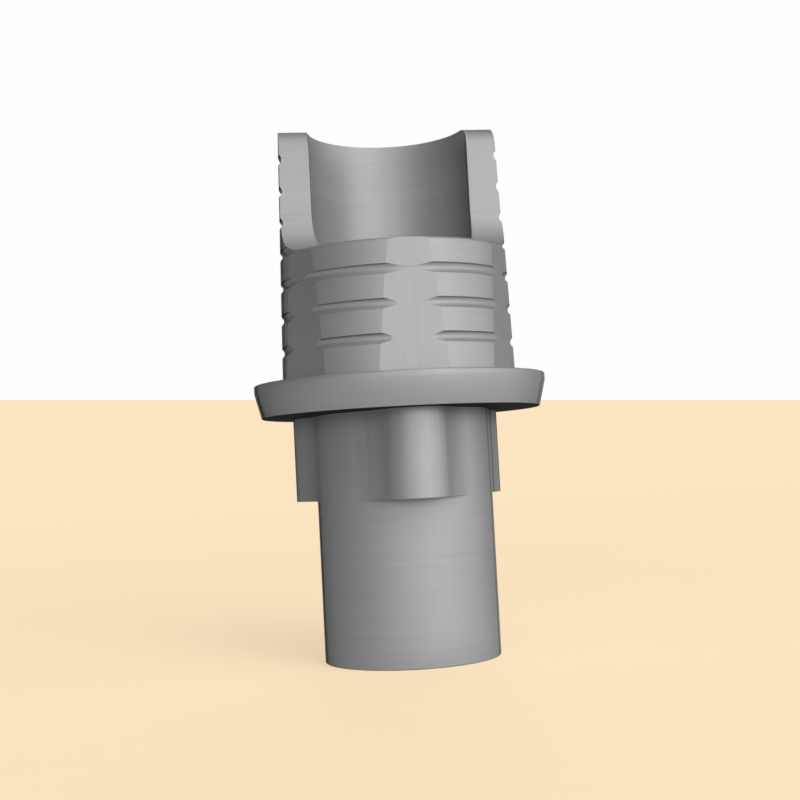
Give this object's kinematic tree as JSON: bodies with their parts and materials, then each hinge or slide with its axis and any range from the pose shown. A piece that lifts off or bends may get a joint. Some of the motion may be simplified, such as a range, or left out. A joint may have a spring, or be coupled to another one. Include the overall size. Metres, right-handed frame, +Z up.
{
  "type": "dental abutment",
  "caption": "One-piece titanium base that carries a bonded crown on a dental implant, with a grooved chimney cut away in front for an angled screwdriver and a three-lobed anti-rotation end.",
  "frame": {"origin": "centre of the lower end face of the guide tube, on which the part stands", "axes": "+Z up along the screw channel from the implant side to the crown side, -Y to the front, where the chimney is milled away and one lobe and one flat lie"},
  "size_m": [0.0046, 0.0046, 0.0083],
  "materials": {
    "titanium": "fine-turned and milled titanium alloy, satin, neutral grey"
  },
  "bodies": {
    "root": {"titanium_base": "titanium"}
  },
  "joints": []
}
